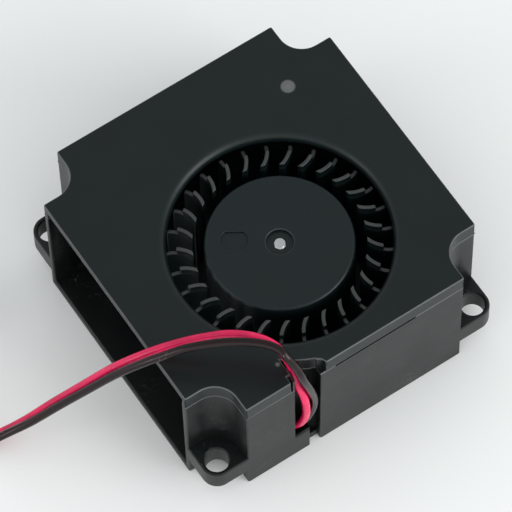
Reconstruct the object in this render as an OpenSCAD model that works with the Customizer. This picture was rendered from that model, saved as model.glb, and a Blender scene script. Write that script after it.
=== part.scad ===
// DC blower fan: square casing with a scroll duct, snap-on cover, drum impeller with forward-curved
// blades, external-rotor brushless motor on a sleeve bearing, and two loose leads with a plug.
// The rotor axis points along +Z, towards the inlet. The outlet faces -X. Z = 0 is the base face.

/* [Casing] */
// Side of the square casing
body_side = 40; // [39:0.5:46]
// Height from the base face to the top of the cover
body_height = 20; // [19:0.5:26]
// Thickness of the side and scroll walls
wall = 0.8; // [0.6:0.05:1]
// Thickness of the floor
floor_t = 1.2; // [1:0.1:1.6]
// Side of the square notch at each corner
notch = 5; // [4.4:0.1:5.4]
// Radius of each notch's inner corner
notch_r = 3; // [2.4:0.1:3.2]

/* [Cover] */
// Thickness of the cover's plate
cover_t = 1.2; // [0.8:0.1:1.4]
// Depth of the cover at its edge, plate and rim together
cover_depth = 2.4; // [2:0.1:3]
// Diameter of the inlet at the top face
inlet_d = 28.5; // [28:0.1:29.5]
// Radius of the rounding of the inlet's lip
lip_r = 1.1; // [0.6:0.05:1.1]

/* [Ears] */
// Distance between the screw holes along a side
hole_pitch = 36; // [35.5:0.1:36.4]
// Diameter of a screw hole
hole_d = 2.9; // [2.4:0.1:3.2]
// Height of an ear's underside
ear_z = 3.3; // [2.6:0.1:6]
// Thickness of an ear
ear_t = 3.2; // [2:0.1:4]
// Radius of an ear's outer corner
ear_r = 2; // [1:0.1:2.2]

/* [Duct] */
// Place of the rotor axis along X
axis_x = 0.35; // [-0.5:0.05:0.8]
// Place of the rotor axis along Y
axis_y = -3.8; // [-4.4:0.05:-3.4]
// Gap between the blades and the scroll at its narrow end
tongue_gap = 1.3; // [1:0.1:1.6]
// Angle at which the scroll starts
tongue_angle = 218; // [212:1:224]
// How late the scroll opens, 1 is evenly
scroll_power = 1.3; // [1.1:0.05:1.6]

/* [Wire slot] */
// Left edge of the wire slot
slot_x = -8.3; // [-9:0.1:-7.8]
// Width of the wire slot
slot_w = 3.45; // [3.2:0.05:4]
// Width of the ledge at the slot's left side
ledge_w = 2; // [1.6:0.1:2.4]
// Height of the ledge
ledge_h = 4.6; // [3:0.1:4.6]

/* [Impeller] */
// Number of blades
blades = 29; // [23:2:31]
// Outer diameter of the blade ring
impeller_d = 26.4; // [25.8:0.1:26.6]
// Inner diameter of the blade ring
blade_ring_d = 20.2; // [19.8:0.1:21]
// Thickness of a blade
blade_t = 0.45; // [0.4:0.05:0.7]
// Radius of a blade's curve
blade_r = 3.9; // [3.6:0.1:5]
// Diameter at which the blades step down
step_d = 24; // [23:0.1:24.6]
// Height of that step
step_h = 1; // [0.4:0.1:1.6]
// Diameter of the hub
hub_d = 17.6; // [17.4:0.1:18.4]
// Wall of the hub
hub_wall = 0.7; // [0.5:0.05:0.8]
// Thickness of the hub's top
hub_top_t = 1; // [0.8:0.1:1.2]
// Depth of the rotor's top below the cover's top
rotor_sink = 1.1; // [0.9:0.1:1.6]
// Thickness of the disc that carries the blades
disc_t = 0.8; // [0.6:0.1:1.2]

/* [Motor] */
// Diameter of the shaft
shaft_d = 1.5; // [1.2:0.1:1.8]
// Diameter of the brass bush that holds the shaft, and of the recess round the shaft's tip
bush_d = 3.3; // [3:0.1:3.8]
// Running clearance between shaft and bearing, all round
running_gap = 0.04; // [0.02:0.01:0.08]
// Sheet thickness of the steel yoke
yoke_t = 0.5; // [0.3:0.05:0.6]
// Radial thickness of the ring magnet
magnet_t = 1; // [0.8:0.05:1.1]
// Height of the ring magnet
magnet_h = 9; // [7:0.5:9.5]
// Air gap between magnet and stator
air_gap = 0.35; // [0.3:0.05:0.5]
// Height of the lamination stack
stack_h = 4; // [3:0.25:4.5]
// Outer diameter of the bearing tube
tube_d = 5; // [4.8:0.1:5.4]
// Wall of the bearing tube
tube_wall = 0.5; // [0.4:0.05:0.6]
// Width of a stator pole's stem
stem_w = 1.8; // [1.4:0.1:2]
// Thickness of a winding on each side of its stem
winding_t = 0.8; // [0.5:0.05:0.9]
// Thickness of the circuit board
board_t = 0.8; // [0.6:0.1:1]
// Diameter of the circuit board
board_d = 16.8; // [16:0.1:17.2]

/* [Leads] */
// Diameter of a lead over its insulation
lead_d = 1; // [0.9:0.02:1.02]
// Width of the plug
plug_w = 5.6; // [5.2:0.1:6.4]
// Height of the plug
plug_h = 4; // [3.6:0.1:4.6]
// Length of the plug
plug_l = 9; // [8:0.5:10]

/* [Hidden] */
$fn = 96;
cut = 0.5;
axis = [axis_x, axis_y];
half = body_side / 2;
ear_place = hole_pitch / 2;
seam_z = body_height - cover_depth;
plate_z = body_height - cover_t;
inlet_r = inlet_d / 2 - lip_r;
outlet_half = half - notch - wall;
scroll_end = 450;
scroll_steps = 48;

// pocket for the leads behind the slot, and the cut in the cover above it
slot_end = slot_x + slot_w;
pocket_share = 0.3;
post_w = 0.35;
slit_w = 0.2;
open_w = 0.75;
open_r = 1;
pocket_depth = 8;
lead_hole = [2.8, 4.4, 2.1];
lead_hole_angle = 227;
hole_root = 1;
pry_slot = [-2.8, 11.1, 0.25];
pry_depth = 0.6;

// label on the base
label_d = 15;
label_t = 0.1;
label_sink = 0.3;
label_margin = 0.2;

// heights of the motor, from the floor up
board_gap = 0.6;
board_z = floor_t + board_gap;
board_top = board_z + board_t;
part_room = 1.4;
board_fit = 0.1;
yoke_lift = 0.2;
disc_z = board_top + part_room;
rotor_top = body_height - rotor_sink;
hub_r = hub_d / 2;
hub_rim_r = 0.5;
yoke_r = hub_r - hub_wall;
yoke_top = rotor_top - hub_top_t;
yoke_z = disc_z + disc_t + yoke_lift;
magnet_r = yoke_r - yoke_t;
magnet_inner = magnet_r - magnet_t;
magnet_drop = 1.9;
magnet_z = yoke_top - yoke_t - magnet_drop - magnet_h;
stator_r = magnet_inner - air_gap;
stack_z = magnet_z + (magnet_h - stack_h) / 2;
stack_top = stack_z + stack_h;
tube_r = tube_d / 2;
tube_bore = tube_r - tube_wall;
tube_lift = 0.1;
tube_z = label_sink + tube_lift;
tube_floor = 0.8;
tube_rise = 0.8;
tube_top = stack_top + tube_rise;
boss_wall = 0.8;

// angle of the first blade at rest, and the shallow mark in the hub's top
blade_phase = 5.6;
blade_lead = 2.6;
blade_lean = 0.75;
blade_cut = 1.6;
mark_place = [-4.25, 3.1];
mark_r = 1.55;
mark_w = 2.2;
mark_angle = -33;
mark_depth = 0.25;

// shaft and what sits on it
shaft_r = shaft_d / 2;
bush_r = bush_d / 2;
bush_flange_w = 0.9;
bush_flange_r = bush_r + bush_flange_w;
bush_flange_t = 0.5;
recess_depth = 0.5;
bush_top = yoke_top;
bush_l = 2.7;
tip_proud = 0.12;
shaft_chamfer = 0.12;
shaft_foot = 0.2;
groove_side = 0.02;
tip_z = rotor_top - recess_depth + tip_proud;
pad_t = 0.5;
pad_z = tube_z + tube_floor;
shaft_float = 0.05;
shaft_z = pad_z + pad_t + shaft_float;
ring_t = 0.3;
ring_gap = 0.3;
ring_rise = 0.5;
ring_r = tube_bore - 0.5;
ring_z = shaft_z + ring_rise;
groove_depth = 0.2;
groove_r = shaft_r - groove_depth;
bearing_clear = 0.3;
bearing_z = ring_z + ring_t + bearing_clear;
bearing_sink = 0.8;
bearing_top = tube_top - bearing_sink;
slinger_z = bearing_top + bearing_clear;
slinger_r = tube_bore - 0.4;
slinger_t = 0.25;

// stator
poles = 4;
core_ring = 0.6;
tip_t = 0.8;
tip_half_angle = 36;
core_r = tube_r + core_ring;
insulator_t = 0.4;
flange_t = 0.3;
flange_rise = 1.1;
winding_fit = 0.05;
coil_in = core_r + winding_fit;
coil_half = stem_w / 2 + winding_t;
coil_out = sqrt(pow(stator_r - tip_t, 2) - pow(coil_half, 2)) - flange_t - 2 * winding_fit;
pin_r = 0.25;
pin_offset = 0.8;
pin_place = core_r + pin_offset;
lug_r = 0.6;
lug_h = 0.9;

// small parts on the circuit board
chip_place = 6.5;
chip = [2.9, 1.4, 1.0];
chip_legs = [2.4, 0.4, 0.15];
small_part = [1.6, 0.8, 0.7];
pad_angle = 229;
pad_r = 6.4;
solder_r = 0.55;
solder_h = 0.9;
solder_back = 0.6;

// routes of the leads, from the board through the pocket and the slot, over the cover and down
red_route = [
    [-4.9, -9.3, 3.2], [-6.3, -10.7, 3.1], [-8.1, -12.3, 2.3], [-9.7, -13.8, 2.1],
    [-10.9, -15.1, 2.2], [-11.5, -16.2, 2.7], [-11.4, -17.4, 3.5], [-10.6, -18.15, 4.4],
    [-9.5, -18.35, 4.85], [-8.55, -18.55, 5.15], [-7.75, -18.95, 5.6], [-7.25, -19.45, 6.6],
    [-6.97, -19.8, 8.1], [-6.86, -20.0, 9.8], [-6.9, -20.0, 11.56], [-7.0, -19.85, 13.32],
    [-7.17, -19.6, 14.71], [-7.44, -19.3, 16.12], [-7.62, -18.95, 17.4], [-7.7, -18.65, 18.63],
    [-7.7, -18.25, 19.87], [-8.04, -17.9, 21.82], [-8.4, -17.2, 23.1], [-8.85, -16.35, 23.9],
    [-9.6, -15.2, 24.2], [-10.95, -13.8, 24.4], [-12.8, -12.4, 24.3], [-14.75, -11.1, 23.55],
    [-16.5, -10.05, 22.8], [-18.5, -8.9, 21.7], [-20.9, -7.6, 20.1], [-24.0, -5.7, 16.85],
    [-27.1, -3.8, 12.5], [-30.2, -1.9, 8.1], [-33.2, -0.3, 4.1], [-36.2, 1.1, 1.4],
    [-39.6, 2.2, 0.55], [-43.2, 2.55, 0.52], [-47.0, 2.55, 0.52]];
black_route = [
    [-3.9, -10.1, 3.2], [-5.4, -11.5, 3.1], [-7.2, -13.1, 2.3], [-8.9, -14.6, 2.1],
    [-9.8, -15.6, 2.1], [-10.5, -16.4, 2.15], [-10.65, -17.3, 2.3], [-10.1, -18.05, 2.6],
    [-9.1, -18.4, 2.9], [-7.9, -18.5, 3.3], [-6.75, -18.65, 4.3], [-6.1, -19.0, 5.8],
    [-5.8, -19.35, 7.5], [-5.6, -19.6, 9.55], [-5.66, -19.8, 11.62], [-6.1, -20.05, 14.22],
    [-6.7, -20.25, 16.92], [-7.31, -20.25, 19.25], [-7.64, -20.05, 20.89], [-7.91, -19.65, 22.1],
    [-8.28, -19.2, 23.33], [-8.65, -18.6, 24.4], [-8.9, -17.8, 24.95], [-9.5, -16.9, 25.25],
    [-10.6, -15.8, 25.4], [-12.2, -14.55, 25.4], [-14.0, -13.35, 25.2], [-15.7, -12.3, 24.75],
    [-17.4, -11.25, 23.95], [-19.3, -10.15, 22.6], [-21.5, -8.8, 20.75], [-24.2, -6.95, 17.6],
    [-27.1, -5.1, 13.6], [-30.1, -3.2, 9.4], [-33.1, -1.5, 5.5], [-36.2, 0.1, 2.6],
    [-39.6, 1.05, 1.0], [-43.2, 1.45, 0.52], [-47.0, 1.45, 0.52]];
lead_sides = 8;
ring_step = 2.6;

// loose coil of the rest of both leads, and the plug beside it
coil_place = [-47, 9];
coil_inner = 2.3;
coil_outer = 8.1;
coil_h = 2.1;
plug_x = -41;
plug_inset = 2.5;
plug_y = coil_place[1] + coil_outer - plug_inset + plug_w / 2;
plug_pitch = 2.54;
tail_z = 1.55;
red_tail = [[-47, 16.55, tail_z], [-45.2, 16.7, 1.65], [-43.4, 17.5, 1.9], [-41.9, 18.5, 2],
    [-41, 18.67, 2]];
black_tail = [[-47, 15.45, tail_z], [-45.2, 15.45, 1.65], [-43.4, 15.7, 1.9], [-41.9, 16.05, 2],
    [-41, 16.13, 2]];
plug_back = 1.5;
contact_w = 1.6;
contact_wall = 0.2;
contact_back = 1;
contact_sink = 1;

// ---- plans of the casing ----

// corner notch, grown by a margin
module notch_plan(grow) {
    inner = half - notch - grow;
    mid = half - notch + notch_r;
    far = notch + grow + cut;
    translate([mid, mid]) circle(r = notch_r + grow);
    translate([mid, inner]) square([far, far + notch]);
    translate([inner, mid]) square([far + notch, far]);
}

// casing outline, drawn in by a margin
module outline(inset = 0) {
    difference() {
        square(body_side - 2 * inset, center = true);
        for (x = [0, 1], y = [0, 1]) mirror([x, 0]) mirror([0, y]) notch_plan(inset);
    }
}

function scroll_reach(a, grow) =
    let (narrow = impeller_d / 2 + tongue_gap, wide = half - wall - axis_y,
        t = (a - tongue_angle) / (scroll_end - tongue_angle))
    narrow + (wide - narrow) * pow(t, scroll_power) + grow;

module scroll_plan(grow = 0) {
    translate(axis) polygon(concat([[0, 0]],
        [for (i = [0:scroll_steps]) let (a = tongue_angle + (scroll_end - tongue_angle) * i / scroll_steps)
            scroll_reach(a, grow) * [cos(a), sin(a)]]));
}

module duct_plan(grow = 0) {
    translate([-half - cut, -outlet_half - grow]) square([half + cut + axis_x, body_side]);
}

// the air's way: scroll, duct and mouth
module air_plan() {
    intersection() {
        outline(wall);
        union() {
            scroll_plan();
            duct_plan();
        }
    }
    translate([-half - cut, -outlet_half]) square([wall + 2 * cut, 2 * outlet_half]);
}

// pockets between the scroll wall and the outer wall
module pocket_plan() {
    difference() {
        intersection() {
            outline(wall);
            union() {
                translate([-half, -half]) square([half + slot_end, half / 2]);
                translate([half * pocket_share, half * pocket_share]) square(half);
            }
        }
        scroll_plan(wall);
        duct_plan(wall);
    }
}

module wall_plan() {
    difference() {
        outline();
        air_plan();
        pocket_plan();
    }
}

// ---- casing ----

module housing() {
    color("#2b2f30") difference() {
        union() {
            linear_extrude(floor_t) outline();
            translate([0, 0, floor_t]) linear_extrude(seam_z - floor_t) wall_plan();
            translate([slot_x - post_w, -half, seam_z]) cube([post_w, wall, cover_depth]);
            for (x = [0, 1], y = [0, 1]) mirror([x, 0, 0]) mirror([0, y, 0]) ear();
            translate([axis_x, axis_y, 0]) cylinder(h = board_z, r = tube_r + boss_wall);
        }
        for (x = [-1, 1], y = [-1, 1])
            translate([x * ear_place, y * ear_place, ear_z - cut]) cylinder(h = ear_t + 2 * cut, d = hole_d);
        translate([axis_x, axis_y, -cut]) cylinder(h = floor_t + board_gap + 2 * cut, r = tube_r);
        translate([axis_x, axis_y, -cut]) cylinder(h = label_sink + cut, r = label_d / 2 + label_margin);
        slot_cut();
        translate(concat(axis, [floor_t])) rotate(lead_hole_angle)
            translate([impeller_d / 2 + tongue_gap - hole_root, -lead_hole[0] / 2, 0])
                cube([lead_hole[1] - hole_root, lead_hole[0], lead_hole[2]]);
        translate([pry_slot[0], -half - cut, seam_z - pry_slot[2]])
            cube([pry_slot[1], cut + wall * pry_depth, pry_slot[2] + cut]);
    }
}

// ear with a rounded outer corner, rooted in the walls of its notch
module ear() {
    root = half - notch - wall / 2;
    translate([0, 0, ear_z]) linear_extrude(ear_t) difference() {
        translate([root, root]) square(half - root);
        difference() {
            translate([half - ear_r, half - ear_r]) square(ear_r + cut);
            translate([half - ear_r, half - ear_r]) circle(r = ear_r);
        }
    }
}

// slot in the -Y wall: a ledge on its left, open down to the base on its right
module slot_cut() {
    translate([slot_x, -half - cut, ledge_h]) cube([slot_w, wall + cut, body_height]);
    translate([slot_x + ledge_w, -half - cut, -cut]) cube([slot_w - ledge_w, wall + cut, body_height]);
}

// cut of the cover over the slot, its inner edge following the scroll wall
module cover_cut_plan() {
    difference() {
        union() {
            translate([slot_x, -half - cut]) square([slot_w, pocket_depth]);
            translate([slot_end + open_w - open_r, -half]) circle(r = open_r);
            translate([slot_x - post_w - slit_w, -half - cut])
                square([post_w + slit_w + cut, wall + slit_w + cut]);
        }
        scroll_plan(wall);
    }
}

module cover() {
    color("#24292a") difference() {
        union() {
            translate([0, 0, seam_z]) linear_extrude(cover_depth - cover_t) wall_plan();
            translate([0, 0, plate_z]) linear_extrude(cover_t) outline();
        }
        translate([0, 0, seam_z - cut]) linear_extrude(cover_depth + 2 * cut) cover_cut_plan();
        translate([axis_x, axis_y, 0]) rotate_extrude() difference() {
            translate([0, seam_z]) square([inlet_r + lip_r, cover_depth + cut]);
            translate([inlet_r, 0]) square([lip_r + cut, body_height - lip_r]);
            translate([inlet_r + lip_r, body_height - lip_r]) circle(r = lip_r);
        }
    }
}

module rear_label() {
    color("#d9dad6") translate([axis_x, axis_y, label_sink - label_t]) cylinder(h = label_t, d = label_d);
}

// ---- bearing ----

module bearing_tube() {
    color("#b99a4e") translate([axis_x, axis_y, tube_z]) difference() {
        cylinder(h = tube_top - tube_z, r = tube_r);
        translate([0, 0, tube_floor]) cylinder(h = tube_top, r = tube_bore);
    }
}

module sleeve_bearing() {
    color("#a5763f") translate([axis_x, axis_y, bearing_z]) difference() {
        cylinder(h = bearing_top - bearing_z, r = tube_bore);
        translate([0, 0, -cut]) cylinder(h = bearing_top, r = shaft_r + running_gap);
    }
}

module thrust_pad() {
    color("#e9e6dc") translate([axis_x, axis_y, pad_z]) cylinder(h = pad_t, r = tube_bore);
}

// ---- rotor ----

module impeller() {
    color("#2b2e30") translate([axis_x, axis_y, 0]) {
        difference() {
            union() {
                rotate_extrude() hub_section();
                translate([0, 0, disc_z]) cylinder(h = disc_t, d = impeller_d);
                translate([0, 0, disc_z + disc_t / 2])
                    linear_extrude(rotor_top - step_h - disc_z - disc_t / 2) blade_ring(impeller_d);
                translate([0, 0, rotor_top - step_h - cut]) linear_extrude(step_h + cut) blade_ring(step_d);
            }
            translate([0, 0, disc_z - cut]) cylinder(h = yoke_top - disc_z + cut, r = yoke_r);
            cylinder(h = body_height, r = shaft_r);
            translate([0, 0, rotor_top - recess_depth]) cylinder(h = recess_depth + cut, r = bush_r);
            hub_recess();
        }
    }
}

// half section of the hub, with its rim rounded
module hub_section() {
    translate([0, disc_z]) square([hub_r, rotor_top - hub_rim_r - disc_z]);
    translate([0, disc_z]) square([hub_r - hub_rim_r, rotor_top - disc_z]);
    translate([hub_r - hub_rim_r, rotor_top - hub_rim_r]) circle(r = hub_rim_r);
}

// blades between the ring's inner diameter and an outer one, concave towards the turning direction
module blade_ring(outer_d) {
    mid_r = blade_ring_d / 2 + blade_lead;
    side = blade_lean * blade_r;
    intersection() {
        difference() {
            circle(d = outer_d);
            circle(d = blade_ring_d);
        }
        for (i = [0:blades - 1]) rotate(blade_phase + 360 * i / blades)
            difference() {
                translate([mid_r, side]) circle(r = blade_r + blade_t / 2);
                translate([mid_r, side]) circle(r = blade_r - blade_t / 2);
                translate([0, side - blade_cut]) square(2 * blade_r + mid_r);
            }
    }
}

// shallow mark in the hub's top, a round with two flat sides
module hub_recess() {
    translate(concat(mark_place, [rotor_top - mark_depth])) rotate(mark_angle)
        linear_extrude(mark_depth + cut) intersection() {
            circle(r = mark_r);
            square([2 * mark_r, mark_w], center = true);
        }
}

module rotor_yoke() {
    color("#9a9c9e") translate([axis_x, axis_y, 0]) difference() {
        translate([0, 0, yoke_z]) cylinder(h = yoke_top - yoke_z, r = yoke_r);
        translate([0, 0, yoke_z - cut]) cylinder(h = yoke_top - yoke_t - yoke_z + cut, r = yoke_r - yoke_t);
        cylinder(h = body_height, r = bush_r);
    }
}

module ring_magnet() {
    color("#3a3634") translate([axis_x, axis_y, magnet_z]) difference() {
        cylinder(h = magnet_h, r = magnet_r);
        translate([0, 0, -cut]) cylinder(h = magnet_h + 2 * cut, r = magnet_inner);
    }
}

module shaft_bush() {
    color("#b99a4e") translate([axis_x, axis_y, 0]) difference() {
        union() {
            translate([0, 0, bush_top - bush_l]) cylinder(h = bush_l, r = bush_r);
            translate([0, 0, yoke_top - yoke_t - bush_flange_t])
                cylinder(h = bush_flange_t, r = bush_flange_r);
        }
        cylinder(h = body_height, r = shaft_r);
    }
}

module shaft() {
    color("#c9cccf") translate([axis_x, axis_y, 0]) rotate_extrude() polygon([
        [0, shaft_z], [shaft_r - shaft_foot, shaft_z], [shaft_r, shaft_z + shaft_foot],
        [shaft_r, ring_z - groove_side], [groove_r, ring_z - groove_side],
        [groove_r, ring_z + ring_t + groove_side], [shaft_r, ring_z + ring_t + groove_side],
        [shaft_r, tip_z - shaft_chamfer], [shaft_r - shaft_chamfer, tip_z], [0, tip_z]]);
}

module retaining_ring() {
    color("#e6e3d8") translate([axis_x, axis_y, ring_z]) difference() {
        cylinder(h = ring_t, r = ring_r);
        translate([0, 0, -cut]) cylinder(h = ring_t + 2 * cut, r = groove_r);
        translate([0, -ring_gap / 2, -cut]) cube([tube_bore, ring_gap, ring_t + 2 * cut]);
    }
}

module oil_slinger() {
    color("#e6e3d8") translate([axis_x, axis_y, slinger_z]) difference() {
        cylinder(h = slinger_t, r = slinger_r);
        translate([0, 0, -cut]) cylinder(h = slinger_t + 2 * cut, r = shaft_r);
    }
}

// ---- stator ----

module pole_positions() {
    translate([axis_x, axis_y, 0]) for (i = [0:poles - 1]) rotate(360 * i / poles) children();
}

module stator_core() {
    color("#8d9093") translate([axis_x, axis_y, stack_z]) linear_extrude(stack_h) difference() {
        union() {
            circle(r = core_r);
            for (i = [0:poles - 1]) rotate(360 * i / poles) {
                translate([0, -stem_w / 2]) square([stator_r - tip_t / 2, stem_w]);
                intersection() {
                    difference() {
                        circle(r = stator_r);
                        circle(r = stator_r - tip_t);
                    }
                    polygon([[0, 0], 2 * stator_r * [cos(tip_half_angle), -sin(tip_half_angle)],
                        2 * stator_r * [cos(tip_half_angle), sin(tip_half_angle)]]);
                }
            }
        }
        circle(r = tube_r);
    }
}

// insulator lying on the stack: ring, arms and the flanges that hold the windings in
module insulator(height, lugs) {
    translate([axis_x, axis_y, 0]) difference() {
        union() {
            cylinder(h = insulator_t, r = core_r);
            for (i = [0:poles - 1]) rotate(360 * i / poles) {
                translate([0, -stem_w / 2, 0]) cube([coil_out + flange_t, stem_w, insulator_t]);
                translate([coil_out + winding_fit, -coil_half, 0]) cube([flange_t, 2 * coil_half, height]);
                if (lugs) rotate(45) {
                    translate([0, -lug_r, 0]) cube([pin_place, 2 * lug_r, insulator_t]);
                    translate([pin_place, 0, 0]) cylinder(h = lug_h, r = lug_r);
                }
            }
        }
        translate([0, 0, -cut]) cylinder(h = height + 2 * cut, r = tube_r);
        if (lugs) for (i = [0:poles - 1]) rotate(45 + 360 * i / poles)
            translate([pin_place, 0, -cut]) cylinder(h = height + 2 * cut, r = pin_r);
    }
}

module upper_insulator() {
    color("#e4ddc8") translate([0, 0, stack_top]) insulator(flange_rise, false);
}

module lower_insulator() {
    color("#e4ddc8") translate([0, 0, stack_z]) mirror([0, 0, 1]) insulator(flange_rise, true);
}

// winding round one pole's stem, as a solid of its outer shape
module winding(i) {
    inner_h = stack_h + 2 * insulator_t;
    color("#b5652c") translate([axis_x, axis_y, stack_z + stack_h / 2]) rotate(360 * i / poles)
        translate([coil_in, 0, 0]) rotate([90, 0, 90]) linear_extrude(coil_out - coil_in) difference() {
            square([2 * coil_half, inner_h + 2 * winding_t], center = true);
            square([stem_w, inner_h], center = true);
        }
}

module winding_pins() {
    color("#c8c3b4") pole_positions() rotate(45)
        translate([pin_place, 0, board_top]) cylinder(h = stack_z - board_top, r = pin_r);
}

// ---- circuit board ----

module circuit_board() {
    color("#2f6b46") translate([axis_x, axis_y, board_z]) difference() {
        cylinder(h = board_t, d = board_d);
        translate([0, 0, -cut]) cylinder(h = board_t + 2 * cut, r = tube_r + board_fit);
    }
}

module on_board(angle, place) {
    translate([axis_x, axis_y, board_top]) rotate(angle) translate([place, 0, 0]) children();
}

module driver_chip() {
    color("#26282a") on_board(90, chip_place) {
        translate([-chip[1] / 2, -chip[0] / 2, 0]) cube([chip[1], chip[0], chip[2]]);
        for (y = [-1, 0, 1]) translate([-chip_legs[0] / 2, y - chip_legs[1] / 2, 0])
            cube([chip_legs[0], chip_legs[1], chip_legs[2]]);
    }
}

module small_board_part(angle) {
    on_board(angle, chip_place) translate([-small_part[1] / 2, -small_part[0] / 2, 0])
        cube([small_part[1], small_part[0], small_part[2]]);
}

module chip_capacitor() { color("#b08a5a") small_board_part(150); }

module chip_resistor() { color("#1f2224") small_board_part(20); }

module solder_joints() {
    color("#b9bcc0") for (p = [red_route[0], black_route[0]])
        translate([p[0], p[1], board_top]) rotate(pad_angle) translate([-solder_back, 0, 0])
            cylinder(h = solder_h, r1 = solder_r, r2 = solder_r / 2);
}

// ---- leads ----

function unit(v) = v / norm(v);

// point on the smooth curve through the route, u counted in points from its start
function on_route(p, u) =
    let (last = len(p) - 1, i = min(floor(u), last - 1), t = u - i,
        a = p[max(i - 1, 0)], b = p[i], c = p[i + 1], d = p[min(i + 2, last)])
    b + 0.5 * t * ((c - a) + t * ((2 * a - 5 * b + 4 * c - d) + t * (3 * b - a - 3 * c + d)));

function route_length(p) = len(p) < 2 ? 0
    : norm(p[1] - p[0]) + route_length([for (i = [1:len(p) - 1]) p[i]]);

function rings(p) =
    let (count = ceil(route_length(p) / ring_step))
    [for (i = [0:count]) on_route(p, (len(p) - 1) * i / count)];

function along(c, i) = unit(c[min(i + 1, len(c) - 1)] - c[max(i - 1, 0)]);

// a direction square to the route at ring i, carried along from the first ring
function across(c, i) =
    let (t = along(c, i), n = i == 0 ? [-t[1], t[0], 0.1] : across(c, i - 1))
    unit(n - (n * t) * t);

module tube(route) {
    c = rings(route);
    n = lead_sides;
    points = [for (i = [0:len(c) - 1]) let (t = along(c, i), u = across(c, i), v = cross(t, u))
        for (j = [0:n - 1]) c[i] + lead_d / 2 * (cos(360 * j / n) * u + sin(360 * j / n) * v)];
    last = (len(c) - 1) * n;
    sides = [for (i = [0:len(c) - 2], j = [0:n - 1], half_face = [0, 1])
        let (k = i * n, m = (j + 1) % n)
        half_face == 0 ? [k + j, k + n + j, k + n + m] : [k + j, k + n + m, k + m]];
    ends = [[for (j = [0:n - 1]) j], [for (j = [n - 1:-1:0]) last + j]];
    polyhedron(points, concat(sides, ends));
}

module red_lead() {
    color("#d93a68") {
        tube(red_route);
        tube(red_tail);
    }
}

module black_lead() {
    color("#2e2829") {
        tube(black_route);
        tube(black_tail);
    }
}

module lead_coil() {
    color("#5a3038") translate(concat(coil_place, [0])) rotate_extrude()
        translate([coil_inner, 0]) square([coil_outer - coil_inner, coil_h]);
}

// row of two places in the plug, at its ends' height
module plug_places() {
    for (y = [-0.5, 0.5]) translate([plug_x + plug_back, plug_y + y * plug_pitch, plug_h / 2]) children();
}

module plug_housing() {
    color("#e8e5da") difference() {
        translate([plug_x, plug_y - plug_w / 2, 0]) cube([plug_l, plug_w, plug_h]);
        plug_places() translate([0, -contact_w / 2, -contact_w / 2]) cube([plug_l, contact_w, contact_w]);
    }
}

module plug_contacts() {
    bore = contact_w - 2 * contact_wall;
    color("#c9cccf") plug_places() difference() {
        translate([0, -contact_w / 2, -contact_w / 2])
            cube([plug_l - plug_back - contact_sink, contact_w, contact_w]);
        translate([contact_back, -bore / 2, -bore / 2]) cube([plug_l, bore, bore]);
    }
}

housing();
cover();
rear_label();
bearing_tube();
sleeve_bearing();
thrust_pad();
impeller();
rotor_yoke();
ring_magnet();
shaft_bush();
shaft();
retaining_ring();
oil_slinger();
stator_core();
upper_insulator();
lower_insulator();
winding(0);  // coil_1
winding(1);  // coil_2
winding(2);  // coil_3
winding(3);  // coil_4
winding_pins();
circuit_board();
driver_chip();
chip_capacitor();
chip_resistor();
solder_joints();
red_lead();
black_lead();
lead_coil();
plug_housing();
plug_contacts();
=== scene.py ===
"""Finished look of a square DC blower fan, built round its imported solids.

Run it as a script in Blender. Each operator below makes one piece or group of like pieces, in metres,
in the frame of the solids: Z up along the rotor's axis, the outlet towards -X, the base on Z = 0.
"""

import math

import bmesh
import bpy
from mathutils import Matrix, Vector


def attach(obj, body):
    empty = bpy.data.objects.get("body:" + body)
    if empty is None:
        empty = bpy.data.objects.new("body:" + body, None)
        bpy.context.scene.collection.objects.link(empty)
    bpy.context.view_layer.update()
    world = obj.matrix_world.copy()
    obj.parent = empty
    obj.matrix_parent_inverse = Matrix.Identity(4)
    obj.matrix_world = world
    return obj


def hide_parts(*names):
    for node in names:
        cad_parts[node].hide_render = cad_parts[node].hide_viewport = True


bl_info = {
    "name": "Blower Fan",
    "version": (1, 0, 0),
    "blender": (4, 5, 0),
    "location": "View3D > Sidebar > Blower",
    "description": "Dresses the solids of a square DC blower fan",
    "category": "Object",
}

MM = 0.001

# Places on the solids, in millimetres: half the side, the corner notches, the joint of casing and cover,
# the cover's face, and the height above which the impeller's edges are rounded
HALF = 20.0
NOTCH = 5.0
SEAM_Z = 17.6
COVER_TOP = 20.0
BLADE_FOOT = 5.0

# Edge bands painted paler, part wear and part painted highlight on the rounded edges: paleness, then inner
# and outer radius round the axis, and lowest and highest place
ROTOR_WEAR_AND_HIGHLIGHT = ((0.044, 9.95, 14, 17.81, 17.95), (0.044, 9.95, 14, 18.81, 18.95),
               (0.032, 8.9, 9.9, 18.4, 18.885), (0.035, 1.5, 2.0, 18.7, 18.89))
COVER_WEAR_AND_HIGHLIGHT = ((0.09, 15.2, 30, 19.79, 19.97), (0.09, 15.2, 30, 17.61, 17.66))
CASING_WEAR_AND_HIGHLIGHT = ((0.12, 15.2, 30, 17.47, 17.59),)
AXIS = (0.35 * MM, -3.8 * MM)

# Pale marks on the cover: place, radius, and share of the pale tone. A gate mark, more dust at its middle,
# and a painted glint in place of the highlight on a small pip by the slot. With a share below zero there is
# no paler tone, only more dust
GATES_AND_PIP_GLINT = (((12.14, 12.15, 20), 0.95, 0.8), ((12.14, 12.15, 20), 0.3, -0.4), ((-8.84, -17.15, 20), 0.3, 0.7))

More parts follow.
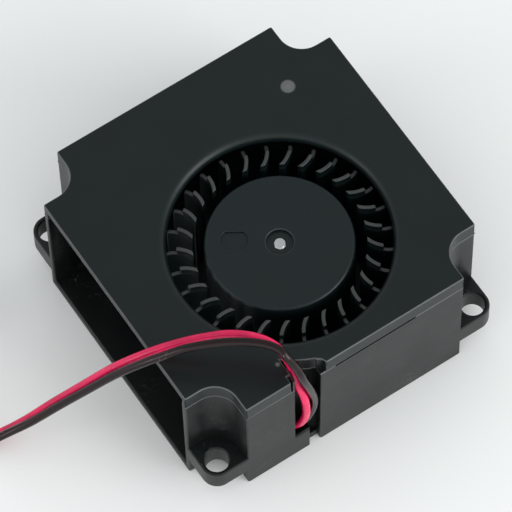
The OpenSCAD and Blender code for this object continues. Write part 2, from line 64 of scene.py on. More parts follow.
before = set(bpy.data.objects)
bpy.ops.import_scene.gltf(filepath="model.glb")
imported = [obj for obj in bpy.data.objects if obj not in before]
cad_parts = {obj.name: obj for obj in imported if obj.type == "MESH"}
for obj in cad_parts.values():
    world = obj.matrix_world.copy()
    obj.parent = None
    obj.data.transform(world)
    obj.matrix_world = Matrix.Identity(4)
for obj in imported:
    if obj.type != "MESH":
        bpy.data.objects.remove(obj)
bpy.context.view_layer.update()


# ---- sizes and colours ----


def colour_property(name, description, value):
    return bpy.props.FloatVectorProperty(
        name=name, description=description, subtype="COLOR", size=3, min=0, max=1, default=value)


class FanFinish(bpy.types.PropertyGroup):
    """Colours and edge rounding of the fan"""

    casing: colour_property("Casing", "Colour of the casing's plastic", (0.0028, 0.0044, 0.0040))
    cover: colour_property("Cover", "Colour of the cover's plastic", (0.0020, 0.0048, 0.0052))
    rotor: colour_property("Rotor", "Colour of the impeller's plastic", (0.0032, 0.0070, 0.0074))
    edge: bpy.props.FloatProperty(
        name="Edge", description="Rounding of the moulded edges", default=0.22 * MM,
        min=0.05 * MM, max=0.3 * MM, unit="LENGTH", precision=5)
    seam: bpy.props.FloatProperty(
        name="Seam", description="Rounding of the cover's edge at the seam, half that of the casing's",
        default=0.07 * MM,
        min=0.02 * MM, max=0.15 * MM, unit="LENGTH", precision=5)
    blade_edge: bpy.props.FloatProperty(
        name="Blade edge", description="Rounding of the blades' edges", default=0.12 * MM,
        min=0.02 * MM, max=0.15 * MM, unit="LENGTH", precision=5)


class FanLeads(bpy.types.PropertyGroup):
    """Sizes and colours of the two leads"""

    diameter: bpy.props.FloatProperty(
        name="Diameter", description="Diameter over the insulation", default=1 * MM,
        min=0.8 * MM, max=1.2 * MM, unit="LENGTH", precision=5)
    length: bpy.props.FloatProperty(
        name="Length", description="Length of each lead", default=0.21,
        min=0.1, max=0.4, unit="LENGTH", precision=3)
    red: colour_property("Red", "Insulation of the positive lead", (0.74, 0.016, 0.100))
    black: colour_property("Black", "Insulation of the negative lead", (0.0052, 0.0006, 0.0012))


class FanStage(bpy.types.PropertyGroup):
    """Floor, lamps and camera"""

    floor: colour_property("Floor", "Colour of the table", (0.832, 0.846, 0.837))
    lamp: bpy.props.FloatProperty(
        name="Lamp", description="Power of the soft lamp", default=10, min=0, max=40, unit="POWER")


# ---- materials ----

PLASTIC_SHINE = {"IOR": 1.38, "Specular Tint": (0.86, 0.92, 0.91, 1)}
LEAD_SHINE = {"IOR": 1.38, "Specular Tint": (1, 0.86, 0.88, 1)}
DUST_TONE = (0.16, 0.165, 0.16, 1)
DUST_COVER = 0.4
DUST_ROUGHNESS = 0.3
DUST_SHARE = 0.26
# Tone of the gate marks, also used for the painted glint on the pip
GATE_AND_GLINT_TONE = (0.105, 0.112, 0.112, 1)
GATE_DUST = 0.5
SCUFF_TONE = (0.11, 0.115, 0.115, 1)
SCUFF_COVER = 0.7
# Tint of the pale edge bands, part wear and part painted highlight
WEAR_AND_HIGHLIGHT_TINT = (0.95, 1, 1)
LEAD_DUST_TONE = (0.5, 0.45, 0.45, 1)
LEAD_DUST_COVER = 0.35
LEAD_DUST_SHARE = 0.4


class Wire:
    """A socket of a finish's nodes, to be used in sums."""

    def __init__(self, finish, socket):
        self.finish = finish
        self.socket = socket

    def sum(self, operation, *values):
        return self.finish.node("Math", {"operation": operation}, dict(enumerate(values)))

    def __add__(self, other):
        return self.sum("ADD", self, other)

    def __sub__(self, other):
        return self.sum("SUBTRACT", self, other)

    def __mul__(self, other):
        return self.sum("MULTIPLY", self, other)

    def __rsub__(self, other):
        return self.sum("SUBTRACT", other, self)

    def __gt__(self, other):
        return self.sum("GREATER_THAN", self, other)

    def __lt__(self, other):
        return self.sum("LESS_THAN", self, other)

    def clamp(self):
        return self.finish.node("Clamp", {}, {0: self})

    def span(self, low, high, to_low=0.0, to_high=1.0):
        """This value stretched from one range to another, and held inside it"""
        sockets = {0: self, 1: low, 2: high, 3: to_low, 4: to_high}
        return self.finish.node("MapRange", {"clamp": True}, sockets)


class Finish:
    """A material under construction, on the piece's own coordinates in metres"""

    def __init__(self, name, **constants):
        self.material = bpy.data.materials.new(name)
        self.material.use_nodes = True
        self.tree = self.material.node_tree
        self.shader = self.tree.nodes["Principled BSDF"]
        for socket, value in constants.items():
            self.shader.inputs[socket].default_value = value
        self.place = self.node("TexCoord", {}, {}, "Object")

    def node(self, kind, settings, sockets, out=0):
        made = self.tree.nodes.new("ShaderNode" + kind)
        for name, value in settings.items():
            setattr(made, name, value)
        for key, value in sockets.items():
            if isinstance(value, Wire):
                self.tree.links.new(value.socket, made.inputs[key])
            else:
                made.inputs[key].default_value = value
        return Wire(self, made.outputs[out])

    def moved(self, scale, turn=(0, 0, 0)):
        """The piece's own coordinates, turned and scaled"""
        return self.node("Mapping", {}, {"Vector": self.place, "Rotation": turn, "Scale": scale})

    def noise(self, scale, detail=3.0, rough=0.5, at=None):
        sockets = {"Vector": at or self.place, "Scale": scale, "Detail": detail, "Roughness": rough}
        return self.node("TexNoise", {}, sockets, "Fac")

    def mix(self, amount, first, second):
        return self.node("Mix", {"data_type": "RGBA"}, {0: amount, 6: first, 7: second}, 2)

    def spot(self, place, radius):
        """Mask of a round spot, its centre and radius in millimetres"""
        reach = self.node("VectorMath", {"operation": "DISTANCE"},
                          {0: self.place, 1: [c * MM for c in place]}, "Value")
        return reach.span(radius * MM * 0.75, radius * MM, 1, 0)

    def edge_band(self, inner, outer, low, high):
        """Mask of what lies between two radii round the rotor's axis and two heights, in millimetres"""
        across = self.node("VectorMath", {"operation": "MULTIPLY"},
                           {0: self.place, 1: (1, 1, 0)}, "Vector")
        reach = self.node("VectorMath", {"operation": "DISTANCE"},
                          {0: across, 1: (*AXIS, 0)}, "Value")
        height = self.node("SeparateXYZ", {}, {0: self.place}, "Z")
        return (reach > inner * MM) * (reach < outer * MM) * (height > low * MM) * (height < high * MM)

    def link(self, name, wire):
        self.tree.links.new(wire.socket, self.shader.inputs[name])

    def bump(self, height, distance, strength=1.0, normal=None):
        sockets = {"Height": height, "Distance": distance, "Strength": strength}
        if normal:
            sockets["Normal"] = normal
        return self.node("Bump", {}, sockets, "Normal")


def rgba(colour, factor=1.0):
    return (*[c * factor for c in colour], 1)


def specks(finish, scale, share):
    """Mask of scattered grains of dust"""
    grain = finish.node("TexVoronoi", {"feature": "F1"}, {"Vector": finish.place, "Scale": scale})
    thin = finish.noise(scale * 0.13, 2.0)
    return (grain < 0.16) * (thin > 1 - share)


def moulded(name, colour, rough=0.38, grain=1.0, gates_and_glint=(), wear_and_highlight=(), scuffs=False):
    """Satin moulded plastic: cloudy tone, fine texture, faint wipe marks, dust, gate marks, a painted glint,
    and pale edge bands that are part wear and part painted highlight
    """
    finish = Finish(name, **PLASTIC_SHINE)
    cloud = finish.noise(190, 4.0, 0.55)
    fine = finish.noise(9000, 2.0, 0.6)
    wipe = finish.noise(1, 4.0, 0.6, finish.moved((160, 1300, 500), turn=(0, 0, 0.5)))
    tone = finish.mix(cloud.span(0.3, 0.7), rgba(colour, 0.88), rgba(colour, 1.16))
    tone = finish.mix(fine.span(0.5, 0.75, 0, 0.25), tone, rgba(colour, 1.9))
    mask = specks(finish, 2600, DUST_SHARE)
    # Pale spots: real gate marks, and one painted glint for a pip's highlight
    for place, radius, share in gates_and_glint:
        pale_spot = finish.spot(place, radius)
        tone = finish.mix(pale_spot * share, tone, GATE_AND_GLINT_TONE)
        mask = mask + pale_spot * GATE_DUST
    # Pale edge bands: part wear, part painted highlight where the rounded edges catch the lamps
    for pale, *band in wear_and_highlight:
        rubbed_and_lit = finish.edge_band(*band) * cloud.span(0.2, 0.6, 0.5, 1)
        tone = finish.mix(rubbed_and_lit, tone, rgba(WEAR_AND_HIGHLIGHT_TINT, pale))
    if scuffs:
        patch = finish.noise(260, 2.0).span(0.56, 0.64)
        line = finish.noise(1, 2.0, 0.5, finish.moved((900, 900, 900), turn=(0.7, 0.4, 0.3)))
        streak = (line > 0.497) * (line < 0.503) * patch
        tone = finish.mix(streak * SCUFF_COVER, tone, SCUFF_TONE)
    finish.link("Base Color", finish.mix(mask.clamp() * DUST_COVER, tone, DUST_TONE))
    sheen = cloud.span(0.3, 0.7, -0.035, 0.035) + wipe.span(0.45, 0.7, 0, -0.012)
    sheen = sheen + fine.span(0.3, 0.7, -0.03, 0.05)
    finish.link("Roughness", sheen + rough + mask * DUST_ROUGHNESS)
    height = finish.bump(fine, 0.006 * MM * grain, 0.6)
    finish.link("Normal", finish.bump(cloud, 0.03 * MM, 0.25, height))
    return finish.material


def insulation(name, colour, dark):
    """Soft shiny lead insulation with faint die lines and handling marks"""
    finish = Finish(name, **LEAD_SHINE)
    cloud = finish.noise(420, 3.0)
    fine = finish.noise(5200, 3.0, 0.6)
    tone = finish.mix(cloud.span(0.35, 0.7), rgba(colour), rgba(colour, dark))
    dust = specks(finish, 3000, LEAD_DUST_SHARE) * LEAD_DUST_COVER
    finish.link("Base Color", finish.mix(dust, tone, LEAD_DUST_TONE))
    finish.link("Roughness", fine.span(0.3, 0.7, 0.14, 0.24))
    finish.link("Normal", finish.bump(fine, 0.008 * MM, 0.5))
    return finish.material


def metal(name, colour, rough, brushed=None, tint=None):
    """Metal with fine working marks, brushed along the axis or round it, and slight tarnish"""
    finish = Finish(name)
    finish.shader.inputs["Metallic"].default_value = 1
    cloud = finish.noise(600, 4.0)
    marks = finish.noise(1, 3.0, 0.6, finish.moved(brushed or (9000, 9000, 9000)))
    tarnish = tint or [c * 0.8 for c in colour]
    finish.link("Base Color", finish.mix(cloud.span(0.4, 0.75), rgba(colour), rgba(tarnish)))
    finish.link("Roughness", marks.span(0.25, 0.75, rough * 0.75, rough * 1.3))
    finish.link("Normal", finish.bump(marks, 0.003 * MM, 0.6))
    return finish.material


def plain_part(name, colour, rough, mottle=0.15, scale=1500, distance=0.006):
    """Matt or waxy solid with a mottled tone"""
    finish = Finish(name)
    cloud = finish.noise(scale * 0.3, 4.0)
    fine = finish.noise(scale * 4, 2.0)
    tone = finish.mix(cloud.span(0.3, 0.7), rgba(colour, 1 - mottle), rgba(colour, 1 + mottle))
    finish.link("Base Color", finish.mix(fine.span(0.5, 0.8, 0, 0.3), tone, rgba(colour, 0.6)))
    finish.link("Roughness", fine.span(0.3, 0.7, rough - 0.06, rough + 0.08))
    finish.link("Normal", finish.bump(fine, distance * MM, 0.5))
    return finish.material


def enamelled_wire(name):
    """Copper winding under clear enamel, its turns a tenth of a millimetre apart"""
    finish = Finish(name, **{"Coat Roughness": 0.2})
    sockets = {"Vector": finish.place, "Scale": 3000.0, "Distortion": 0.4, "Detail": 1.0}
    turns = finish.node("TexWave", {"bands_direction": "Z"}, sockets)
    cloud = finish.noise(900, 3.0)
    tone = finish.mix(turns, (0.20, 0.045, 0.012, 1), (0.62, 0.20, 0.065, 1))
    finish.link("Base Color", finish.mix(cloud.span(0.4, 0.8, 0, 0.4), tone, (0.30, 0.09, 0.03, 1)))
    finish.link("Metallic", cloud.span(0.2, 0.8, 0.75, 0.9))
    finish.link("Roughness", cloud.span(0.3, 0.7, 0.28, 0.42))
    finish.link("Normal", finish.bump(turns, 0.05 * MM, 0.8))
    return finish.material


def coated_board(name):
    """Green solder mask over copper tracks and glass weave"""
    finish = Finish(name, **{"IOR": 1.5})
    sockets = {"Vector": finish.moved((1, 1, 1), turn=(0, 0, 0.78)), "Scale": 900.0, "Distortion": 1.0}
    weave = finish.node("TexWave", {"bands_direction": "X"}, sockets)
    sockets = {"Vector": finish.place, "Scale": 420.0}
    tracks = finish.node("TexVoronoi", {"feature": "DISTANCE_TO_EDGE"}, sockets)
    tone = finish.mix(weave.span(0, 1, 0, 0.35), (0.018, 0.10, 0.042, 1), (0.026, 0.135, 0.060, 1))
    track = tracks.span(0.06, 0.10)
    finish.link("Base Color", finish.mix(track, (0.045, 0.20, 0.075, 1), tone))
    finish.link("Roughness", finish.noise(2500).span(0.3, 0.7, 0.25, 0.38))
    finish.link("Normal", finish.bump(1 - track, 0.02 * MM, 0.6))
    return finish.material


# ---- shapes ----

SMOOTH_ANGLE = 32
SHARP_ANGLE = 35
BEVEL_STEPS = 3


def show(name, mesh, material, slot, body, *replaced):
    """A finished mesh as a piece at the origin, riding on its body"""
    mesh.materials.clear()
    mesh.materials.append(material)
    for face in mesh.polygons:
        face.use_smooth = True
        face.material_index = 0
    mesh.set_sharp_from_angle(angle=math.radians(SMOOTH_ANGLE))
    piece = bpy.data.objects.new(name, mesh)
    bpy.context.collection.objects.link(piece)
    weights = piece.modifiers.new("weights", "WEIGHTED_NORMAL")
    weights.keep_sharp = True
    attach(piece, body)
    if replaced:
        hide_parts(*replaced)
    return piece


def merged(node):
    """A copy of a solid with its triangles joined into flat faces"""
    shape = bmesh.new()
    shape.from_mesh(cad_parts[node].data)
    bmesh.ops.remove_doubles(shape, verts=shape.verts, dist=0.002 * MM)
    bmesh.ops.dissolve_limit(shape, angle_limit=math.radians(0.5), verts=shape.verts, edges=shape.edges)
    return shape


def soften(shape, width, where):
    """Rounds the sharp outer edges whose middle, in millimetres, passes a test"""
    edges = [e for e in shape.edges if len(e.link_faces) == 2
             and e.calc_face_angle_signed(0) > math.radians(SHARP_ANGLE)
             and where(*((e.verts[0].co + e.verts[1].co) / 2 / MM))]
    bmesh.ops.bevel(shape, geom=edges, offset=width, offset_type="OFFSET", segments=BEVEL_STEPS,
                    profile=0.5, affect="EDGES", clamp_overlap=False, material=-1)


def outside(x, y):
    """Whether a place lies on the casing's outline, its notches counted in"""
    return max(abs(x), abs(y)) > HALF - 0.01 or min(abs(x), abs(y)) > HALF - NOTCH - 0.01


def to_mesh(shape, name):
    mesh = bpy.data.meshes.new(name)
    shape.to_mesh(mesh)
    shape.free()
    return mesh


def finish_node(material, *nodes):
    for node in nodes:
        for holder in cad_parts[node].material_slots:
            holder.material = material


def smooth_route(route, steps):
    """Points on the smooth curve through a route"""
    route = [Vector(p) for p in route]
    last = len(route) - 1
    points = []
    for i in range(last):
        a, b, c, d = route[max(i - 1, 0)], route[i], route[i + 1], route[min(i + 2, last)]
        for k in range(steps):
            t = k / steps
            bend = (2 * a - 5 * b + 4 * c - d) + t * (3 * b - a - 3 * c + d)
            points.append(b + 0.5 * t * ((c - a) + t * bend))
    return points + [route[last]]


# ---- leads ----

RED_ROUTE = [
    (-4.9, -9.3, 3.2), (-6.3, -10.7, 3.1), (-8.1, -12.3, 2.3), (-9.7, -13.8, 2.1),
    (-10.9, -15.1, 2.2), (-11.5, -16.2, 2.7), (-11.4, -17.4, 3.5), (-10.6, -18.15, 4.4),
    (-9.5, -18.35, 4.85), (-8.55, -18.55, 5.15), (-7.75, -18.95, 5.6), (-7.25, -19.45, 6.6),
    (-6.97, -19.8, 8.1), (-6.86, -20.0, 9.8), (-6.9, -20.0, 11.56), (-7.0, -19.85, 13.32),
    (-7.17, -19.6, 14.71), (-7.44, -19.3, 16.12), (-7.62, -18.95, 17.4), (-7.7, -18.65, 18.63),
    (-7.7, -18.25, 19.87), (-8.04, -17.9, 21.82), (-8.4, -17.2, 23.1), (-8.85, -16.35, 23.9),
    (-9.6, -15.2, 24.2), (-10.95, -13.8, 24.4), (-12.8, -12.4, 24.3), (-14.75, -11.1, 23.55),
    (-16.5, -10.05, 22.8), (-18.5, -8.9, 21.7), (-20.9, -7.6, 20.1), (-24.0, -5.7, 16.85),
    (-27.1, -3.8, 12.5), (-30.2, -1.9, 8.1), (-33.2, -0.3, 4.1), (-36.2, 1.1, 1.4),
    (-39.6, 2.2, 0.55), (-43.2, 2.55, 0.52), (-47.0, 2.55, 0.52)]
BLACK_ROUTE = [
    (-3.9, -10.1, 3.2), (-5.4, -11.5, 3.1), (-7.2, -13.1, 2.3), (-8.9, -14.6, 2.1),
    (-9.8, -15.6, 2.1), (-10.5, -16.4, 2.15), (-10.65, -17.3, 2.3), (-10.1, -18.05, 2.6),
    (-9.1, -18.4, 2.9), (-7.9, -18.5, 3.3), (-6.75, -18.65, 4.3), (-6.1, -19.0, 5.8),
    (-5.8, -19.35, 7.5), (-5.6, -19.6, 9.55), (-5.66, -19.8, 11.62), (-6.1, -20.05, 14.22),
    (-6.7, -20.25, 16.92), (-7.31, -20.25, 19.25), (-7.64, -20.05, 20.89), (-7.91, -19.65, 22.1),
    (-8.28, -19.2, 23.33), (-8.65, -18.6, 24.4), (-8.9, -17.8, 24.95), (-9.5, -16.9, 25.25),
    (-10.6, -15.8, 25.4), (-12.2, -14.55, 25.4), (-14.0, -13.35, 25.2), (-15.7, -12.3, 24.75),
    (-17.4, -11.25, 23.95), (-19.3, -10.15, 22.6), (-21.5, -8.8, 20.75), (-24.2, -6.95, 17.6),
    (-27.1, -5.1, 13.6), (-30.1, -3.2, 9.4), (-33.1, -1.5, 5.5), (-36.2, 0.1, 2.6),
    (-39.6, 1.05, 1.0), (-43.2, 1.45, 0.52), (-47.0, 1.45, 0.52)]
RED_TAIL = [(-47, 16.55, 1.55), (-45.2, 16.7, 1.65), (-43.4, 17.5, 1.9), (-41.9, 18.5, 2), (-40.4, 18.67, 2)]
BLACK_TAIL = [(-47, 15.45, 1.55), (-45.2, 15.45, 1.65), (-43.4, 15.7, 1.9), (-41.9, 16.05, 2),
              (-40.4, 16.13, 2)]
COIL_PLACE = (-47, 9)
COIL_TURNS = 3.5
COIL_PITCH = 2.1
COIL_OUTER = 7.0
COIL_STEPS = 36
COIL_ROUNDING = 0.15
COIL_SWAP = 0.25
ROUTE_STEPS = 5
LEAD_GAP = 1.1
FIRST_LAYER, SECOND_LAYER = 0.52, 1.55


def ease(value, low, high):
    t = min(max((value - low) / (high - low), 0), 1)
    return t * t * (3 - 2 * t)


def coil_turns(inside, climb):
    """Clockwise turns of one lead: inwards on the table, over the other lead, and outwards on top"""
    middle = COIL_TURNS / 2
    count = int(COIL_TURNS * COIL_STEPS)
    start = math.hypot(middle, COIL_ROUNDING)
    points = []
    for i in range(1, count):
        u = COIL_TURNS * i / count
        reach = COIL_PITCH * (math.hypot(u - middle, COIL_ROUNDING) - start) + COIL_OUTER
        side = 1 - 2 * ease(u, middle - COIL_SWAP, middle + COIL_SWAP)
        reach += (-1 if inside else 1) * side * LEAD_GAP / 2
        angle = math.radians(-90 - 360 * u)
        height = FIRST_LAYER + (SECOND_LAYER - FIRST_LAYER) * ease(u, *climb)
        points.append((COIL_PLACE[0] + reach * math.cos(angle),
                       COIL_PLACE[1] + reach * math.sin(angle), height))
    return points


def lead(name, points, diameter, material):
    curve = bpy.data.curves.new(name, "CURVE")
    curve.dimensions = "3D"
    curve.bevel_depth = diameter / 2
    curve.bevel_resolution = 4
    curve.use_fill_caps = True
    spline = curve.splines.new("POLY")
    spline.points.add(len(points) - 1)
    for knot, point in zip(spline.points, points):
        knot.co = (*[c * MM for c in point], 1)
    spline.use_smooth = True
    curve.materials.append(material)
    piece = bpy.data.objects.new(name, curve)
    bpy.context.collection.objects.link(piece)
    return piece


class BLOWER_OT_leads(bpy.types.Operator):
    """Red and black lead, their coil on the table and their plug"""

    bl_idname = "blower.leads"
    bl_label = "Leads"

    def execute(self, context):
        look = context.scene.fan_leads
        red_skin = insulation("red_insulation", look.red, 0.72)
        black_skin = insulation("black_insulation", look.black, 0.6)
        for name, route, tail, inside, climb, skin, nodes in (
                ("lead_positive", RED_ROUTE, RED_TAIL, True, (1.40, 1.68), red_skin,
                 ["red_lead", "lead_coil"]),
                ("lead_negative", BLACK_ROUTE, BLACK_TAIL, False, (1.85, 2.15), black_skin,
                 ["black_lead", "lead_coil"])):
            points = smooth_route(route, ROUTE_STEPS) + coil_turns(inside, climb)
            points = points + smooth_route(tail, ROUTE_STEPS)
            piece = lead(name, points, look.diameter, skin)
            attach(piece, "casing")
            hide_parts(*nodes)
            [c * MM for c in route[0]]
        finish_node(plain_part("plug_plastic", (0.74, 0.71, 0.62), 0.42, 0.05, 1800, 0.005), "plug_housing")
        finish_node(metal("tinned_contact", (0.68, 0.67, 0.64), 0.28), "plug_contacts")
        return {"FINISHED"}


# ---- casing ----


class BLOWER_OT_casing(bpy.types.Operator):
    """Moulded casing with its ears, scroll and wire slot, and the label on its base"""

    bl_idname = "blower.casing"
    bl_label = "Casing"

    def execute(self, context):
        look = context.scene.fan_finish
        shape = merged("housing")
        soften(shape, look.seam * 2, lambda x, y, z: outside(x, y) and abs(z - SEAM_Z) < 0.01)
        soften(shape, look.edge, lambda x, y, z: outside(x, y) and z < SEAM_Z - 0.2)
        plastic = moulded("casing_plastic", look.casing, wear_and_highlight=CASING_WEAR_AND_HIGHLIGHT, scuffs=True)
        show("casing", to_mesh(shape, "casing"), plastic, "casing_plastic", "casing", "housing")
        finish_node(plain_part("label_film", (0.70, 0.71, 0.68), 0.5, 0.03, 900, 0.004), "rear_label")
        return {"FINISHED"}


class BLOWER_OT_cover(bpy.types.Operator):
    """Cover with the inlet, its rounded lip and its rim"""

    bl_idname = "blower.cover"
    bl_label = "Cover"

    def execute(self, context):
        look = context.scene.fan_finish
        shape = merged("cover")
        soften(shape, look.seam, lambda x, y, z: outside(x, y) and abs(z - SEAM_Z) < 0.01)
        soften(shape, look.edge, lambda x, y, z: z > COVER_TOP - 0.01 or outside(x, y) and z > SEAM_Z + 0.2)
        plastic = moulded("cover_plastic", look.cover, gates_and_glint=GATES_AND_PIP_GLINT, wear_and_highlight=COVER_WEAR_AND_HIGHLIGHT)
        show("cover_plate", to_mesh(shape, "cover_plate"), plastic, "cover_plastic", "casing", "cover")
        return {"FINISHED"}


class BLOWER_OT_impeller(bpy.types.Operator):
    """Impeller with its curved blades and hub"""

    bl_idname = "blower.impeller"
    bl_label = "Impeller"

    def execute(self, context):
        look = context.scene.fan_finish
        shape = merged("impeller")
        soften(shape, look.blade_edge, lambda x, y, z: z > BLADE_FOOT)
        plastic = moulded("rotor_plastic", look.rotor, rough=0.36, grain=0.8, wear_and_highlight=ROTOR_WEAR_AND_HIGHLIGHT)
        show("fan_wheel", to_mesh(shape, "fan_wheel"), plastic, "rotor_plastic", "rotor", "impeller")
        return {"FINISHED"}


class BLOWER_OT_motor(bpy.types.Operator):
    """Finishes of the motor inside the hub and of its circuit board"""

    bl_idname = "blower.motor"
    bl_label = "Motor"

    def execute(self, context):
        brass = metal("turned_brass", (0.72, 0.50, 0.20), 0.3, (2000, 2000, 14000))
        finish_node(brass, "bearing_tube", "shaft_bush")
        bronze = metal("oiled_bronze", (0.48, 0.27, 0.12), 0.45, tint=(0.30, 0.16, 0.08))
        finish_node(bronze, "sleeve_bearing")
        finish_node(metal("ground_shaft", (0.56, 0.57, 0.58), 0.32, (2500, 2500, 16000)), "shaft")
        finish_node(metal("drawn_steel", (0.52, 0.53, 0.54), 0.34, (3000, 3000, 12000)), "rotor_yoke")
        laminations = metal("stacked_laminations", (0.42, 0.43, 0.45), 0.4, (1500, 1500, 20000))
        finish_node(laminations, "stator_core")
        finish_node(metal("tinned_pins", (0.68, 0.67, 0.64), 0.25), "winding_pins", "solder_joints")
        finish_node(plain_part("bonded_ferrite", (0.040, 0.036, 0.034), 0.6, 0.2), "ring_magnet")
        finish_node(plain_part("white_nylon", (0.78, 0.76, 0.70), 0.4, 0.05, 1800, 0.004),
                    "thrust_pad", "retaining_ring", "oil_slinger")
        finish_node(plain_part("insulator_nylon", (0.72, 0.67, 0.54), 0.45, 0.06, 1800, 0.005),
                    "upper_insulator", "lower_insulator")
        finish_node(enamelled_wire("enamelled_copper"), "coil_1", "coil_2", "coil_3", "coil_4")
        finish_node(coated_board("circuit_board_mask"), "circuit_board")
        finish_node(plain_part("chip_resin", (0.022, 0.022, 0.024), 0.5, 0.15, 4000), "driver_chip")
        finish_node(plain_part("capacitor_body", (0.42, 0.27, 0.14), 0.45, 0.12, 4000), "chip_capacitor")
        finish_node(plain_part("resistor_body", (0.030, 0.032, 0.034), 0.4, 0.12, 4000), "chip_resistor")
        return {"FINISHED"}


# ---- stage ----

CAMERA_TARGET = (-0.58, -0.02, 10.0)
CAMERA_AZIMUTH = -32.03
CAMERA_ELEVATION = 63.29
CAMERA_DISTANCE = 542.41
CAMERA_ROLL = -1.71
CAMERA_LENS = 324.98
KEY_LAMP_SHARE = 0.47
SIDE_LAMP_SHARE = 0.11

# The direction towards which the sky changes, and how: from, to, strength at the first and at the second
SKY_DIM = (0.24, 0.38, 0.89)
SKY_STEPS = ((0.25, 0.85, 1.05, 0.77), (-0.45, 0.25, 1.2, 0.0))


def aim(place, target, roll=0.0):
    """Placement of something that looks from one point at another along its -Z"""
    back = (Vector(place) - Vector(target)).normalized()
    right = Vector((-back.y, back.x, 0)).normalized()
    up = back.cross(right)
    turned = Matrix((right, up, back)).transposed().to_4x4()
    return Matrix.Translation(place) @ turned @ Matrix.Rotation(roll, 4, "Z")


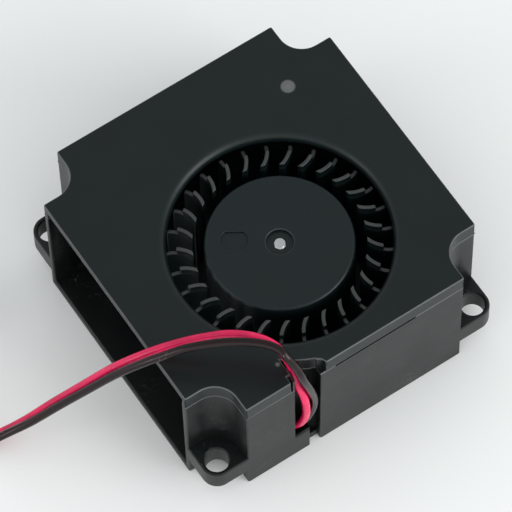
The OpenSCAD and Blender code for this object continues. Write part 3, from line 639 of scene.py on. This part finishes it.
class BLOWER_OT_stage(bpy.types.Operator):
    """Pale table, soft studio light and the camera"""

    bl_idname = "blower.stage"
    bl_label = "Stage"

    def execute(self, context):
        scene = context.scene
        look = scene.fan_stage
        scene.view_settings.view_transform = "Standard"
        self.camera(scene)
        self.floor(look)
        self.lamps(look)
        self.sky(scene)
        return {"FINISHED"}

    def camera(self, scene):
        data = bpy.data.cameras.new("camera")
        data.sensor_width = 36
        data.lens = CAMERA_LENS
        data.clip_start, data.clip_end = 0.01, 10
        camera = bpy.data.objects.new("camera", data)
        scene.collection.objects.link(camera)
        azimuth, elevation = math.radians(CAMERA_AZIMUTH), math.radians(CAMERA_ELEVATION)
        target = Vector(CAMERA_TARGET) * MM
        back = Vector((math.sin(azimuth) * math.cos(elevation),
                       -math.cos(azimuth) * math.cos(elevation), math.sin(elevation)))
        camera.matrix_world = aim(target + back * CAMERA_DISTANCE * MM, target, math.radians(CAMERA_ROLL))
        scene.camera = camera

    def floor(self, look):
        shape = bmesh.new()
        bmesh.ops.create_grid(shape, x_segments=1, y_segments=1, size=2)
        bmesh.ops.translate(shape, verts=shape.verts, vec=(0, 0, -0.02 * MM))
        mesh = to_mesh(shape, "table")
        finish = Finish("table_top")
        cloud = finish.noise(3, 2.0)
        tone = finish.mix(cloud.span(0.3, 0.7), rgba(look.floor, 0.985), rgba(look.floor, 1.015))
        finish.link("Base Color", tone)
        finish.link("Roughness", cloud.span(0.3, 0.7, 0.6, 0.7))
        finish.shader.inputs["Specular IOR Level"].default_value = 0.2
        mesh.materials.append(finish.material)
        table = bpy.data.objects.new("table", mesh)
        bpy.context.collection.objects.link(table)

    def lamps(self, look):
        for name, place, size, power in (
                ("key_lamp", (0.45, -0.71, 0.31), 0.55, look.lamp * KEY_LAMP_SHARE),
                ("side_lamp", (-0.85, 0.12, 0.32), 0.40, look.lamp * SIDE_LAMP_SHARE)):
            data = bpy.data.lights.new(name, "AREA")
            data.shape = "SQUARE"
            data.size = size
            data.energy = power
            lamp = bpy.data.objects.new(name, data)
            bpy.context.collection.objects.link(lamp)
            lamp.matrix_world = aim(place, (0, 0, 0))

    def sky(self, scene):
        world = bpy.data.worlds.new("studio")
        world.use_nodes = True
        tree = world.node_tree
        tree.nodes.clear()
        out = tree.nodes.new("ShaderNodeOutputWorld")
        light = tree.nodes.new("ShaderNodeBackground")
        pale = tree.nodes.new("ShaderNodeBackground")
        blend = tree.nodes.new("ShaderNodeMixShader")
        rays = tree.nodes.new("ShaderNodeLightPath")
        place = tree.nodes.new("ShaderNodeTexCoord")
        facing = tree.nodes.new("ShaderNodeVectorMath")
        facing.operation = "DOT_PRODUCT"
        facing.inputs[1].default_value = SKY_DIM
        tree.links.new(place.outputs["Generated"], facing.inputs[0])
        both = tree.nodes.new("ShaderNodeMath")
        for index, steps in enumerate(SKY_STEPS):
            fade = tree.nodes.new("ShaderNodeMapRange")
            tree.links.new(facing.outputs["Value"], fade.inputs[0])
            for key, value in enumerate(steps, 1):
                fade.inputs[key].default_value = value
            tree.links.new(fade.outputs[0], both.inputs[index])
        tree.links.new(both.outputs[0], light.inputs["Strength"])
        light.inputs["Color"].default_value = (0.97, 0.99, 1.0, 1)
        pale.inputs["Color"].default_value = (0.80, 0.82, 0.80, 1)
        tree.links.new(rays.outputs["Is Camera Ray"], blend.inputs[0])
        tree.links.new(light.outputs[0], blend.inputs[1])
        tree.links.new(pale.outputs[0], blend.inputs[2])
        tree.links.new(blend.outputs[0], out.inputs[0])
        scene.world = world


class BLOWER_PT_panel(bpy.types.Panel):
    """Pieces of the fan, in the order they are made"""

    bl_idname = "BLOWER_PT_panel"
    bl_label = "Blower Fan"
    bl_space_type = "VIEW_3D"
    bl_region_type = "UI"
    bl_category = "Blower"

    def draw(self, context):
        for group in ("fan_finish", "fan_leads", "fan_stage"):
            values = getattr(context.scene, group)
            for name in values.__annotations__:
                self.layout.prop(values, name)
        for step in STEPS:
            self.layout.operator(step.bl_idname)


GROUPS = {"fan_finish": FanFinish, "fan_leads": FanLeads, "fan_stage": FanStage}
STEPS = (BLOWER_OT_stage, BLOWER_OT_leads, BLOWER_OT_casing, BLOWER_OT_cover, BLOWER_OT_impeller,
         BLOWER_OT_motor)


def register():
    for kind in (*GROUPS.values(), *STEPS, BLOWER_PT_panel):
        bpy.utils.register_class(kind)
    for name, kind in GROUPS.items():
        setattr(bpy.types.Scene, name, bpy.props.PointerProperty(type=kind))


def unregister():
    for name in GROUPS:
        delattr(bpy.types.Scene, name)
    for kind in (BLOWER_PT_panel, *reversed(STEPS), *reversed(list(GROUPS.values()))):
        bpy.utils.unregister_class(kind)


def main():
    register()
    for step in STEPS:
        group, name = step.bl_idname.split(".")
        getattr(getattr(bpy.ops, group), name)()


if __name__ == "__main__":
    main()
